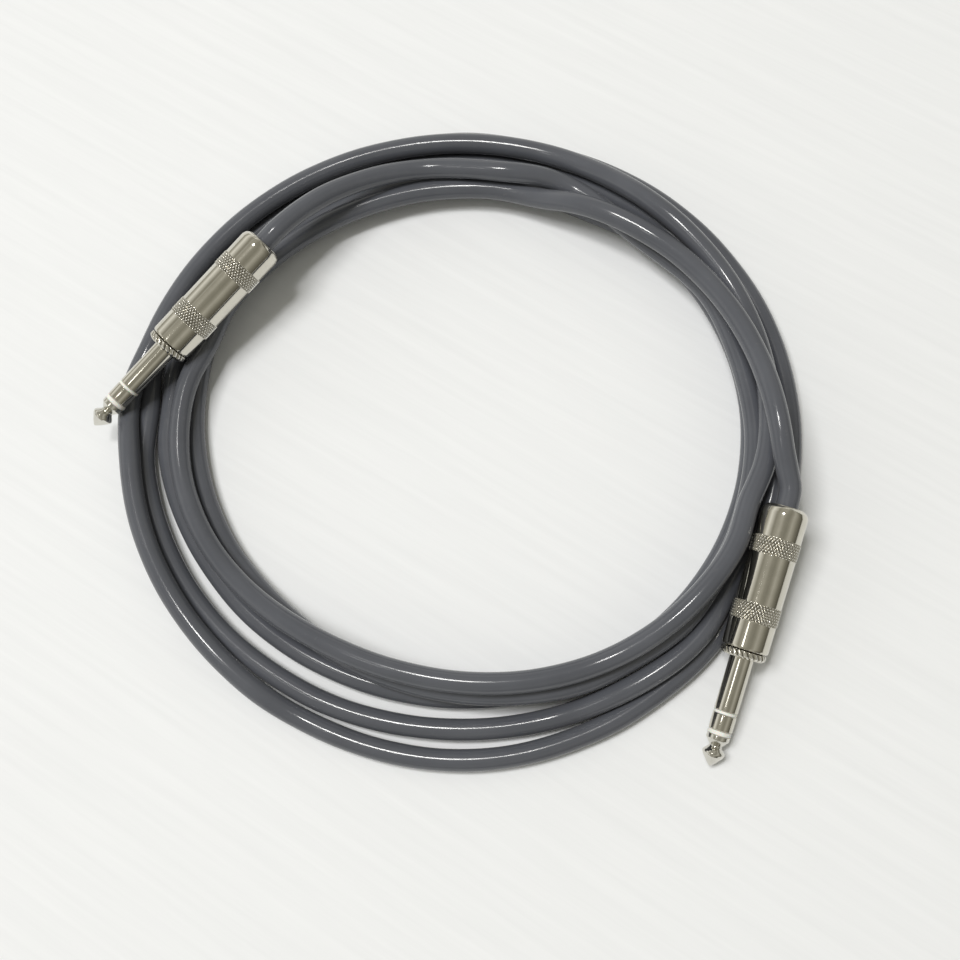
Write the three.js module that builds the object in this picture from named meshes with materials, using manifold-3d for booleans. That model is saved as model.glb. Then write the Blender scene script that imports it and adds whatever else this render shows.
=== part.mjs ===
// Instrument cable: a coiled two-conductor shielded cable with a three-contact
// 6.35 mm phone plug at each end. Millimetres, +Z up, table at z = 0, origin at
// the centre of the footprint.
//
// The cable lies in about five and a half loose turns. The left plug lies across
// the top of the coil. The right plug has its tip on the table and its barrel
// across the outer turn.
//
// Plug frame: x runs along the axis from the tip (x = 0, the front) to the butt
// (x = PLUG_LENGTH, the back), and z is up when the plug lies level.
import * as THREE from 'three';
import { mergeVertices } from 'three/addons/utils/BufferGeometryUtils.js';
import Module from 'manifold-3d';

const wasm = await Module();
wasm.setup();

// ------------------------------------------------------------ plug dimensions
// A name ending in _R is a radius. _FRONT, _BACK and _END are places along x.
const PLUG_LENGTH = 70.6;
const GAP = 0.1;                 // between stacked contact pieces
const TURNED_SEGMENTS = 14;      // round the contacts and the sleeve
const SMALL_SEGMENTS = 12;       // round washers, eyes and the collar's bore

// Finger: the contacts and insulators in front of the collar.
const FINGER_R = 3.175;
const FINGER_EDGE_R = 3.05;      // at the chamfered ends of ring and sleeve
const FINGER_CHAMFER = 0.3;      // from the nominal end of a piece, along x
const INSULATOR_R = 3.1;
const TIP_END = 8.42;            // each end is the nominal back of its piece
const TIP_INSULATOR_END = 9.62;
const RING_END = 14.0;
const RING_INSULATOR_END = 14.8;

// Nested rod and tubes that carry the contacts back through the sleeve.
const ROD_R = 0.75;
const TIP_INSULATOR_TUBE_R = 1.15;
const RING_TUBE_R = 1.6;
const RING_INSULATOR_TUBE_R = 2.0;
const SLEEVE_BORE_R = 2.12;
const RING_INSULATOR_BACK = 39.4;
const CONTACT_TUBE_BACK = 41.0;  // tip insulator and ring contact
const ROD_BACK = 43.9;

// Collar and threaded boss of the sleeve.
const SHOULDER = 29.5;           // front face of the collar
const COLLAR_END = 31.5;
const COLLAR_R = 5.9;            // over the serrations
const COLLAR_ROOT_R = 5.55;
const COLLAR_TEETH = 20;
const COLLAR_HOLE_R = 2.6;       // inside the sleeve's own wall
const BOSS_OVERLAP = 0.4;        // the boss starts this far inside the collar
const THREAD_R = 4.9;
const THREAD_END = 38.5;
const THREAD_CHAMFER = 0.4;

// Barrel and its insulating liner.
const BARREL_FRONT = 31.8;
const BARREL_R = 6.23;
const BAND_R = 6.32;             // knurled bands stand slightly proud
const BANDS_X = [[39.2, 44.2], [57.1, 61.9]];
const BAND_RAMP = 0.1;
const BARREL_BORE_R = 5.2;
const BARREL_BACK_WALL = 66.0;   // inside face of the barrel's rear wall
const CABLE_HOLE_R = 4.05;
const LINER = { x: [40.4, 65.7], innerR: 4.5, outerR: 4.9 };

// Washers and solder lugs stacked behind the threaded boss.
const WASHER_THICKNESS = 0.7;
const LUG_THICKNESS = 0.5;
const FRONT_WASHER_X = RING_INSULATOR_BACK + GAP;
const RING_LUG_X = FRONT_WASHER_X + WASHER_THICKNESS + GAP;
const REAR_WASHER_X = CONTACT_TUBE_BACK + GAP;
const TIP_LUG_X = REAR_WASHER_X + WASHER_THICKNESS + GAP;
const LUG_TAIL = { innerY: 2.75, outerY: 3.25, halfWidth: 1.1 };
const LUG_ARM_INNER_Y = 1.9;
const WELD = 0.02;               // arm and tail are set in from the eye's faces

// Ground clamp: an eye, a strip along the bottom and a band round the jacket.
const CLAMP_EYE = { x: THREAD_END + GAP, thickness: 0.7, holeR: 2.1, outerR: 4.1 };
const CLAMP_STRIP = { front: THREAD_END + 0.15, back: 62.0, halfWidth: 1.3, z: [-4.15, -3.55] };
const CLAMP_HEEL = { thickness: 0.6, z: [-4.0, -3.0] };
const CLAMP_BAND = { x: [56.0, 61.0], innerR: 3.14, outerR: 3.75, halfAngle: 2.3, steps: 10 };

// Plug poses: tip point, then heading (from +x towards +y) and elevation of the
// axis from tip to butt, in degrees.
const PLUGS = {
  right: { tip: [60.4, -79.1, 3.3], heading: 71.7, elevation: 11.0 },
  left: { tip: [-109.01, 15.11, 11.3], heading: 45.2, elevation: 8.7 },
};

// ----------------------------------------------------------- cable dimensions
const CABLE_R = 3.03;            // corner radius of the eight-sided jacket
const JACKET_BORE_R = 2.05;
const SHIELD_INNER_R = 1.44;
const SHIELD_OUTER_R = 1.9;
const CONDUCTOR_R = 0.6;         // over the insulation
const CONDUCTOR_OFFSET = 0.66;   // sideways from the centreline
const COPPER_R = 0.33;

// Where the layers are stripped back to inside a plug.
const JACKET_FRONT = 54.0;
const SHIELD_FRONT = 50.5;
const INSULATION_FRONT = 48.0;
const COPPER_FRONT = 45.2;
const COPPER_BACK = INSULATION_FRONT - 0.1;
const CONDUCTOR_STRAIGHT = 0.9;  // length parallel to the axis at the front
const CONDUCTOR_FRONT_Y = 1.9;
const COPPER_Y = 2.3;

// How far shield and conductors stop short of a jacket end.
const SHIELD_INSET = 0.2;
const CONDUCTOR_INSET = 0.3;
const ROUND_END_INSET = 0.3;     // added at a rounded end

// Rounded jacket end.
const EIGHTH_TURN_HALF = Math.PI / 8;  // puts the jacket's flats up and sideways
const BALL_R = CABLE_R * Math.cos(EIGHTH_TURN_HALF) + 0.02;
const BALL_STEM = { length: 2.0, scale: 0.97 };  // stub of the ball in the jacket
const BALL_STEPS = 4;
const BORE_OVERRUN = 1;          // the bore cutter passes the flat end
const ROUND_END_BORE_INSET = 0.2;

// Centreline of the cable, left butt to right butt: x, y, z.
const CABLE_STATIONS = [
  [-59.84, 64.63, 21.98], [-56.35, 68.14, 22.74], [-50.33, 74.62, 21.20], [-42.92, 80.91, 18.91],
  [-40.29, 82.79, 17.99], [-24.79, 90.30, 13.18], [-7.62, 91.90, 12.32], [7.94, 89.57, 13.59],
  [23.49, 87.41, 10.38], [37.34, 78.07, 9.48], [51.40, 65.69, 8.73], [65.45, 50.81, 9.58],
  [72.83, 32.20, 9.50], [76.00, 12.06, 9.52], [73.29, -7.86, 9.68], [66.16, -25.49, 11.64],
  [55.64, -40.49, 12.20], [41.35, -51.17, 9.61], [24.36, -58.65, 9.12], [4.38, -60.75, 9.53],
  [-16.89, -57.82, 9.17], [-37.14, -49.76, 8.02], [-54.53, -37.27, 5.08], [-68.76, -21.97, 3.09],
  [-78.27, -3.81, 3.07], [-82.61, 16.45, 3.06], [-81.65, 36.52, 3.06], [-75.04, 54.99, 3.06],
  [-62.93, 70.32, 3.06], [-46.06, 82.25, 3.06], [-26.27, 89.78, 3.06], [-5.59, 92.14, 3.06],
  [15.77, 87.91, 3.06], [36.32, 78.93, 3.06], [54.21, 67.33, 3.06], [66.24, 51.45, 3.06],
  [74.00, 32.44, 3.06], [76.29, 12.06, 3.06], [72.84, -8.10, 3.06], [63.99, -26.67, 3.06],
  [50.45, -42.18, 3.06], [32.80, -53.43, 3.06], [12.53, -60.13, 3.06], [-9.10, -61.37, 3.06],
  [-30.72, -57.20, 3.06], [-50.63, -48.09, 3.06], [-67.54, -34.30, 3.06], [-80.23, -16.82, 3.06],
  [-88.02, 1.97, 3.06], [-89.19, 21.69, 3.06], [-87.57, 40.99, 3.06], [-80.38, 59.46, 3.06],
  [-67.99, 75.20, 3.06], [-50.94, 87.55, 3.06], [-30.35, 95.48, 3.06], [-8.81, 98.85, 3.06],
  [12.00, 96.21, 3.06], [31.18, 88.99, 4.51], [48.01, 77.63, 8.38], [62.89, 64.28, 8.08],
  [74.46, 48.13, 6.59], [80.48, 28.79, 6.75], [82.23, 8.35, 7.57], [78.90, -10.44, 7.60],
  [70.44, -26.43, 6.65], [61.64, -41.65, 8.49], [48.42, -54.22, 8.13], [31.73, -62.60, 5.47],
  [11.87, -68.21, 3.09], [-9.89, -69.34, 3.07], [-32.15, -65.56, 3.07], [-52.74, -56.53, 3.06],
  [-70.47, -43.30, 3.06], [-84.15, -26.16, 3.06], [-92.81, -7.19, 3.06], [-96.16, 12.65, 3.06],
  [-95.61, 31.88, 3.06], [-91.94, 51.39, 3.06], [-82.44, 69.20, 3.06], [-67.95, 84.58, 3.06],
  [-49.26, 96.05, 3.06], [-27.49, 103.09, 3.06], [-5.21, 105.61, 3.06], [17.16, 101.65, 3.06],
  [38.82, 93.28, 3.06], [57.45, 80.51, 3.06], [72.05, 63.92, 3.06], [82.22, 44.40, 3.06],
  [86.97, 23.00, 3.06], [86.43, 0.93, 3.06], [81.42, -19.33, 3.06], [69.71, -36.50, 3.00],
  [56.10, -53.23, 3.06], [38.31, -66.14, 3.06], [17.73, -74.61, 3.06], [-3.96, -77.73, 3.06],
  [-25.87, -75.19, 3.06], [-46.09, -67.93, 3.06], [-64.07, -56.86, 5.72], [-79.37, -41.65, 7.38],
  [-91.68, -22.85, 7.77], [-98.72, -2.87, 7.71], [-101.52, 13.38, 6.39], [-101.66, 28.64, 6.61],
  [-95.51, 43.18, 9.30], [-86.96, 60.03, 9.29], [-72.80, 77.01, 9.09], [-54.97, 90.01, 9.07],
  [-34.28, 98.44, 9.11], [-12.20, 101.87, 9.06], [9.09, 100.11, 9.08], [28.36, 93.56, 10.09],
  [44.27, 82.41, 14.27], [59.02, 68.39, 15.30], [70.92, 52.36, 13.25], [77.79, 33.70, 13.19],
  [79.28, 14.47, 14.99], [75.73, -3.98, 15.81], [68.80, -20.47, 17.46], [58.66, -35.28, 18.82],
  [44.64, -46.94, 16.81], [27.10, -54.94, 15.05], [7.13, -58.43, 15.71], [-14.49, -56.63, 15.59],
  [-35.92, -49.70, 14.67], [-54.87, -39.09, 11.65], [-69.96, -25.68, 8.95], [-80.10, -9.54, 8.60],
  [-84.71, 8.12, 8.79], [-83.48, 25.91, 9.53], [-76.78, 42.17, 8.70], [-68.16, 58.25, 8.57],
  [-54.06, 71.60, 7.81], [-35.64, 81.54, 7.69], [-15.55, 86.61, 7.57], [3.12, 86.40, 7.93],
  [19.68, 81.27, 10.18], [35.05, 74.72, 15.00], [51.09, 65.21, 15.18], [65.04, 51.02, 16.47],
  [75.28, 33.01, 19.15], [76.52, 30.05, 19.58], [79.61, 19.60, 21.00], [81.61, 9.17, 21.21],
  [82.11, 5.89, 20.84], [83.32, -1.84, 19.21], [83.70, -8.64, 17.73], [82.16, -13.30, 16.77],
].map((station) => new THREE.Vector3(...station));

// The cable is divided so that it can bend. Each run below is a slice of the
// stations. The end runs start at the butt, and the link at its right end.
const LEFT_END_RUN = CABLE_STATIONS.slice(0, 4);
const COIL_RUN = CABLE_STATIONS.slice(4, -7);
const LINK_RUN = CABLE_STATIONS.slice(-7, -4).reverse();
const RIGHT_END_RUN = CABLE_STATIONS.slice(-4).reverse();

// ------------------------------------------------------------------ materials
const standard = (settings) => new THREE.MeshStandardMaterial(settings);
const nickel = () => standard({ color: 0xb9b6a6, roughness: 0.22, metalness: 1 });
const tinned = () => standard({ color: 0xa9a9a4, roughness: 0.35, metalness: 1 });
const copper = () => standard({ color: 0xb87a4b, roughness: 0.35, metalness: 1 });
const braid = () => standard({ color: 0x9c6a45, roughness: 0.45, metalness: 1 });
const whitePlastic = () => standard({ color: 0xe9e8e2, roughness: 0.4, metalness: 0 });
const fibre = () => standard({ color: 0x9a4a32, roughness: 0.8, metalness: 0 });
const linerPlastic = () => standard({ color: 0xcfd3d4, roughness: 0.5, metalness: 0 });
const jacketPvc = () => standard({ color: 0x55575c, roughness: 0.42, metalness: 0 });
const wireRed = () => standard({ color: 0xa32822, roughness: 0.5, metalness: 0 });
const wireWhite = () => standard({ color: 0xdedcd4, roughness: 0.5, metalness: 0 });

// ------------------------------------------------------------- solid booleans
function toManifold(geometry) {
  const bare = geometry.clone();
  bare.deleteAttribute('normal');
  bare.deleteAttribute('uv');
  const merged = mergeVertices(bare, 1e-4);
  return new wasm.Manifold(new wasm.Mesh({
    numProp: 3,
    vertProperties: new Float32Array(merged.attributes.position.array),
    triVerts: new Uint32Array(merged.index.array),
  }));
}

function fromManifold(solid) {
  const mesh = solid.getMesh();
  const positions = new Float32Array(mesh.vertProperties);
  const geometry = new THREE.BufferGeometry();
  geometry.setAttribute('position', new THREE.BufferAttribute(positions, 3));
  geometry.setIndex(Array.from(mesh.triVerts));
  geometry.computeVertexNormals();
  return geometry;
}

const join = (...parts) => fromManifold(parts.map(toManifold).reduce((a, b) => a.add(b)));
const cut = (body, tool) => fromManifold(toManifold(body).subtract(toManifold(tool)));

// --------------------------------------------------------------- basic solids
// Closed solid of revolution about the x axis. profile: [x, radius] pairs.
function lathe(profile, segments) {
  const points = profile.map(([x, radius]) => new THREE.Vector2(radius, x));
  const area = points.reduce(
    (sum, point, i) => sum + point.cross(points[(i + 1) % points.length]), 0);
  if (area < 0) points.reverse();   // so that the faces point outwards
  if (points.some((point) => point.x === 0)) {
    // An open profile that starts and ends on the axis.
    while (points[0].x !== 0 || points.at(-1).x !== 0) points.push(points.shift());
  } else {
    points.push(points[0].clone());
  }
  const geometry = new THREE.LatheGeometry(points, segments);
  geometry.rotateZ(-Math.PI / 2);   // lathe axis y onto x
  return geometry;
}

function tube([x0, x1], innerR, outerR, segments = SMALL_SEGMENTS) {
  return lathe([[x0, innerR], [x0, outerR], [x1, outerR], [x1, innerR]], segments);
}

// Straight prism along x of an outline drawn in (y, z).
function prism(outline, [x0, x1]) {
  const geometry = new THREE.ExtrudeGeometry(
    new THREE.Shape(outline), { depth: x1 - x0, bevelEnabled: false });
  geometry.applyMatrix4(new THREE.Matrix4().makeBasis(
    new THREE.Vector3(0, 1, 0), new THREE.Vector3(0, 0, 1), new THREE.Vector3(1, 0, 0)));
  geometry.translate(x0, 0, 0);
  return geometry;
}

// Box between two limits on each axis, given in either order.
function box([x0, x1], [y0, y1], [z0, z1]) {
  const geometry = new THREE.BoxGeometry(Math.abs(x1 - x0), Math.abs(y1 - y0), Math.abs(z1 - z0));
  geometry.translate((x0 + x1) / 2, (y0 + y1) / 2, (z0 + z1) / 2);
  return geometry;
}

function polar(radius, angle) {
  return new THREE.Vector2(radius * Math.cos(angle), radius * Math.sin(angle));
}

function polygon(radius, sides, phase = 0) {
  return Array.from({ length: sides }, (_, i) => polar(radius, phase + (i / sides) * 2 * Math.PI));
}

// --------------------------------------------------------------------- sweeps
const directionTo = (from, to) => to.clone().sub(from).normalize();

// Mean direction of the segments that meet at station i.
function tangentAt(points, i) {
  const tangent = new THREE.Vector3();
  if (i > 0) tangent.add(directionTo(points[i - 1], points[i]));
  if (i < points.length - 1) tangent.add(directionTo(points[i], points[i + 1]));
  return tangent.normalize();
}

const sideOf = (tangent) => new THREE.Vector3(0, 0, 1).cross(tangent).normalize();

// A curve sampled only at its stations. Its frames keep one side of the section
// up, so that every layer of the cable has the same orientation at a station.
class StationCurve extends THREE.Curve {
  constructor(points) {
    super();
    this.points = points;
  }

  getPointAt(t) {
    return this.points[Math.round(t * (this.points.length - 1))].clone();
  }

  computeFrenetFrames() {
    const tangents = this.points.map((_, i) => tangentAt(this.points, i));
    const normals = tangents.map(sideOf);
    const binormals = tangents.map((tangent, i) => tangent.clone().cross(normals[i]).normalize());
    return { tangents, normals, binormals };
  }
}

function sweep(points, outline, hole = null) {
  const shape = new THREE.Shape(outline);
  if (hole) shape.holes.push(new THREE.Path(hole));
  return new THREE.ExtrudeGeometry(shape, {
    steps: points.length - 1,
    bevelEnabled: false,
    extrudePath: new StationCurve(points),
  });
}

// Moves the two end stations inwards along their own segments. A negative
// distance lengthens the run.
function trimmed(points, startInset, endInset) {
  const result = points.map((point) => point.clone());
  const inwards = directionTo(result[0], result[1]);
  const backwards = directionTo(result.at(-1), result.at(-2));
  result[0].addScaledVector(inwards, startInset);
  result.at(-1).addScaledVector(backwards, endInset);
  return result;
}

// ---------------------------------------------------------------- plug pieces
function tipContact() {
  const back = TIP_END - GAP / 2;
  return lathe([
    [0, 0], [0.2, 0.5], [1.1, 1.4], [2.9, 2.75], [3.5, 2.98], [4.0, 2.88], [5.2, 1.74],
    [5.7, 1.74], [7.15, 3.0], [7.35, 3.05], [back, 3.05],
    [back, ROD_R], [43.0, ROD_R], [43.2, 1.6], [ROD_BACK, 1.3], [ROD_BACK, 0],
  ], TURNED_SEGMENTS);
}

function tipInsulator() {
  const front = TIP_END + GAP / 2;
  const back = TIP_INSULATOR_END - GAP / 2;
  const boreR = ROD_R + GAP;
  return lathe([
    [front, boreR], [front, FINGER_EDGE_R], [back, INSULATOR_R], [back, TIP_INSULATOR_TUBE_R],
    [CONTACT_TUBE_BACK, TIP_INSULATOR_TUBE_R], [CONTACT_TUBE_BACK, boreR],
  ], TURNED_SEGMENTS);
}

function ringContact() {
  const front = TIP_INSULATOR_END + GAP / 2;
  const back = RING_END - GAP / 2;
  const boreR = TIP_INSULATOR_TUBE_R + GAP;
  return lathe([
    [front, boreR], [front, FINGER_EDGE_R], [TIP_INSULATOR_END + FINGER_CHAMFER, FINGER_R],
    [RING_END - FINGER_CHAMFER, FINGER_R], [back, FINGER_EDGE_R], [back, RING_TUBE_R],
    [CONTACT_TUBE_BACK, RING_TUBE_R], [CONTACT_TUBE_BACK, boreR],
  ], TURNED_SEGMENTS);
}

function ringInsulator() {
  const front = RING_END + GAP / 2;
  const back = RING_INSULATOR_END - GAP / 2;
  const boreR = RING_TUBE_R + GAP;
  return lathe([
    [front, boreR], [front, INSULATOR_R], [back, INSULATOR_R], [back, RING_INSULATOR_TUBE_R],
    [RING_INSULATOR_BACK, RING_INSULATOR_TUBE_R], [RING_INSULATOR_BACK, boreR],
  ], TURNED_SEGMENTS);
}

// Sleeve contact and threaded boss, with the serrated collar between them.
function sleeveBody() {
  const front = RING_INSULATOR_END + GAP / 2;
  const bossFront = SHOULDER + BOSS_OVERLAP;
  const body = lathe([
    [front, SLEEVE_BORE_R], [front, FINGER_EDGE_R],
    [RING_INSULATOR_END + FINGER_CHAMFER, FINGER_R], [bossFront, FINGER_R],
    [bossFront, THREAD_R], [THREAD_END - THREAD_CHAMFER, THREAD_R],
    [THREAD_END, THREAD_R - THREAD_CHAMFER], [THREAD_END, SLEEVE_BORE_R],
  ], TURNED_SEGMENTS);
  const corners = COLLAR_TEETH * 2;
  const serrations = Array.from({ length: corners }, (_, i) =>
    polar(i % 2 ? COLLAR_ROOT_R : COLLAR_R, (i / corners) * 2 * Math.PI));
  const collar = prism(serrations, [SHOULDER, COLLAR_END]);
  const bore = lathe([
    [SHOULDER - 1, 0], [SHOULDER - 1, COLLAR_HOLE_R],
    [COLLAR_END + 1, COLLAR_HOLE_R], [COLLAR_END + 1, 0],
  ], SMALL_SEGMENTS);
  return join(body, cut(collar, bore));
}

function barrel() {
  const bands = BANDS_X.flatMap(([front, back]) => [
    [front, BARREL_R], [front + BAND_RAMP, BAND_R], [back - BAND_RAMP, BAND_R], [back, BARREL_R],
  ]);
  return lathe([
    [BARREL_FRONT, 5.75], [BARREL_FRONT + 0.45, BARREL_R], ...bands,
    [68.1, BARREL_R], [69.6, 5.7], [PLUG_LENGTH, 4.5],
    [PLUG_LENGTH, CABLE_HOLE_R], [BARREL_BACK_WALL, CABLE_HOLE_R],
    [BARREL_BACK_WALL, BARREL_BORE_R], [BARREL_FRONT, BARREL_BORE_R],
  ], 24);
}

function washer(front, holeR, outerR) {
  return tube([front, front + WASHER_THICKNESS], holeR, outerR);
}

// Solder lug: a round eye on a contact with a tail bent backwards. side is the
// sign of y where the tail lies.
function lug({ front, holeR, outerR, side, length }) {
  const { innerY, outerY, halfWidth } = LUG_TAIL;
  const back = front + LUG_THICKNESS;
  const width = [-halfWidth, halfWidth];
  const eye = tube([front, back], holeR, outerR);
  const arm = box([front + WELD, back - WELD], [side * LUG_ARM_INNER_Y, side * outerY], width);
  const tail = box([front + WELD, front + length], [side * innerY, side * outerY], width);
  return join(eye, arm, tail);
}

// The band is an arc centred on the bottom and open at the top.
function groundClamp() {
  const { x, thickness, holeR, outerR } = CLAMP_EYE;
  const { front, back, halfWidth, z } = CLAMP_STRIP;
  const width = [-halfWidth, halfWidth];
  const eye = tube([x, x + thickness], holeR, outerR);
  const strip = box([front, back], width, z);
  const heel = box([front, front + CLAMP_HEEL.thickness], width, CLAMP_HEEL.z);
  const { halfAngle, steps } = CLAMP_BAND;
  const arc = (radius) => Array.from({ length: steps + 1 }, (_, i) =>
    polar(radius, -Math.PI / 2 - halfAngle + 2 * halfAngle * (i / steps)));
  const outline = [...arc(CLAMP_BAND.outerR), ...arc(CLAMP_BAND.innerR).reverse()];
  return join(eye, strip, heel, prism(outline, CLAMP_BAND.x));
}

function ringLug() {
  return lug({ front: RING_LUG_X, holeR: RING_TUBE_R + GAP, outerR: 3.3, side: 1, length: 6.5 });
}

function tipLug() {
  return lug({ front: TIP_LUG_X, holeR: ROD_R + GAP, outerR: 2.5, side: -1, length: 5.0 });
}

// ---------------------------------------------------------------------- scene
const root = new THREE.Group();
root.name = 'instrument_cable';
const content = new THREE.Group();
content.name = 'content';
root.add(content);

function put(parent, name, geometry, material) {
  const mesh = new THREE.Mesh(geometry, material);
  mesh.name = name;
  parent.add(mesh);
}

// ---------------------------------------------------------------------- plugs
function plugMatrix({ tip, heading, elevation }) {
  const turn = THREE.MathUtils.degToRad(heading);
  const rise = THREE.MathUtils.degToRad(elevation);
  const axis = new THREE.Vector3(
    Math.cos(turn) * Math.cos(rise), Math.sin(turn) * Math.cos(rise), Math.sin(rise));
  const side = sideOf(axis);
  const top = axis.clone().cross(side);
  return new THREE.Matrix4().makeBasis(axis, side, top).setPosition(...tip);
}

// Builds a plug and returns its matrix, which places the cable end inside it.
function putPlug(side) {
  const matrix = plugMatrix(PLUGS[side]);
  const plug = new THREE.Group();
  plug.name = `plug_${side}`;
  plug.applyMatrix4(matrix);
  content.add(plug);
  const frontWasher = washer(FRONT_WASHER_X, RING_TUBE_R + GAP, 3.4);
  const rearWasher = washer(REAR_WASHER_X, TIP_INSULATOR_TUBE_R + GAP, 2.6);
  const liner = tube(LINER.x, LINER.innerR, LINER.outerR, 16);
  put(plug, `${side}_tip_contact`, tipContact(), nickel());
  put(plug, `${side}_insulator_tip`, tipInsulator(), whitePlastic());
  put(plug, `${side}_ring_contact`, ringContact(), nickel());
  put(plug, `${side}_insulator_ring`, ringInsulator(), whitePlastic());
  put(plug, `${side}_sleeve_body`, sleeveBody(), nickel());
  put(plug, `${side}_ground_clamp`, groundClamp(), tinned());
  put(plug, `${side}_washer_front`, frontWasher, fibre());
  put(plug, `${side}_ring_lug`, ringLug(), tinned());
  put(plug, `${side}_washer_rear`, rearWasher, fibre());
  put(plug, `${side}_tip_lug`, tipLug(), tinned());
  put(plug, `${side}_liner_tube`, liner, linerPlastic());
  put(plug, `${side}_barrel`, barrel(), nickel());
  return matrix;
}

// ---------------------------------------------------------------------- cable
// Sections: x is sideways and y is up along the cable.
const JACKET = polygon(CABLE_R, 8, EIGHTH_TURN_HALF);
const JACKET_HOLE = polygon(JACKET_BORE_R, 6);
const SHIELD = polygon(SHIELD_OUTER_R, 6);
const SHIELD_HOLE = polygon(SHIELD_INNER_R, 4);
const CONDUCTOR = polygon(CONDUCTOR_R, 4);
const COPPER = polygon(COPPER_R, 6);

const CONDUCTORS = [
  { color: 'red', sign: 1, material: wireRed },
  { color: 'white', sign: -1, material: wireWhite },
];

// Jacket closed at its last station by a half ball.
function roundedJacket(points) {
  const profile = [[-BALL_STEM.length, 0], [-BALL_STEM.length, BALL_R * BALL_STEM.scale]];
  for (let i = 0; i < BALL_STEPS; i++) {
    const angle = (i / BALL_STEPS) * Math.PI / 2;
    profile.push([BALL_R * Math.sin(angle), BALL_R * Math.cos(angle)]);
  }
  profile.push([BALL_R, 0]);
  const ball = lathe(profile, 8);
  ball.rotateX(EIGHTH_TURN_HALF);
  const outward = directionTo(points.at(-2), points.at(-1));
  ball.applyQuaternion(
    new THREE.Quaternion().setFromUnitVectors(new THREE.Vector3(1, 0, 0), outward));
  ball.translate(...points.at(-1));
  const boreRun = trimmed(points, -BORE_OVERRUN, ROUND_END_BORE_INSET);
  return cut(join(sweep(points, JACKET), ball), sweep(boreRun, JACKET_HOLE));
}

// A length of cable outside the plugs, flat or rounded at its last station.
function putLength(name, run, rounded) {
  const extra = rounded ? ROUND_END_INSET : 0;
  const jacket = rounded ? roundedJacket(run) : sweep(run, JACKET, JACKET_HOLE);
  const shieldRun = trimmed(run, SHIELD_INSET, SHIELD_INSET + extra);
  const conductorRun = trimmed(run, CONDUCTOR_INSET, CONDUCTOR_INSET + extra);
  put(content, `${name}_jacket`, jacket, jacketPvc());
  put(content, `${name}_shield`, sweep(shieldRun, SHIELD, SHIELD_HOLE), braid());
  for (const { color, sign, material } of CONDUCTORS) {
    const offset = new THREE.Vector2(sign * CONDUCTOR_OFFSET, 0);
    const outline = CONDUCTOR.map((corner) => corner.clone().add(offset));
    put(content, `${name}_conductor_${color}`, sweep(conductorRun, outline), material());
  }
}

// A cable end, from inside a plug out to a rounded end.
function putEnd(side, matrix, run) {
  const inPlug = (x, y = 0) => new THREE.Vector3(x, y, 0).applyMatrix4(matrix);
  const fromPlug = (front) => [inPlug(front), ...run];
  const shieldRun = trimmed(fromPlug(SHIELD_FRONT), 0, SHIELD_INSET + ROUND_END_INSET);
  const centreRun = trimmed(fromPlug(SHIELD_FRONT), 0, CONDUCTOR_INSET + ROUND_END_INSET);
  put(content, `${side}_end_jacket`, roundedJacket(fromPlug(JACKET_FRONT)), jacketPvc());
  put(content, `${side}_end_shield`, sweep(shieldRun, SHIELD, SHIELD_HOLE), braid());
  for (const { color, sign, material } of CONDUCTORS) {
    // The conductors spread apart in front of the shield.
    const conductorRun = [
      inPlug(INSULATION_FRONT, sign * CONDUCTOR_FRONT_Y),
      inPlug(INSULATION_FRONT + CONDUCTOR_STRAIGHT, sign * CONDUCTOR_FRONT_Y),
      ...centreRun.map((point, i) => point.clone().addScaledVector(
        sideOf(tangentAt(centreRun, i)), sign * CONDUCTOR_OFFSET)),
    ];
    const copperRun = [inPlug(COPPER_FRONT, sign * COPPER_Y), inPlug(COPPER_BACK, sign * COPPER_Y)];
    put(content, `${side}_end_conductor_${color}`, sweep(conductorRun, CONDUCTOR), material());
    put(content, `${side}_copper_${color}`, sweep(copperRun, COPPER), copper());
  }
}

const rightMatrix = putPlug('right');
const leftMatrix = putPlug('left');
putLength('coil', COIL_RUN, false);
putLength('right_link', LINK_RUN, true);
putEnd('right', rightMatrix, RIGHT_END_RUN);
putEnd('left', leftMatrix, LEFT_END_RUN);

// Origin at the centre of the footprint, on the table.
const bounds = new THREE.Box3().setFromObject(root);
const centre = bounds.getCenter(new THREE.Vector3());
content.position.set(-centre.x, -centre.y, -bounds.min.z);
root.updateMatrixWorld(true);

export default root;
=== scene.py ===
"""A coiled audio cable with a three-contact plug at each end, lying on a table.

The script works in millimetres and hands metres to Blender. The row frame has z up, the table
just below z = 0, and +y away from the camera. Each plug has its own frame: x runs along its
axis from the tip (0) to the butt where the cable enters, and z leans upwards.
"""
import bpy
import math
import numpy as np
from mathutils import Matrix, Vector


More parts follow.
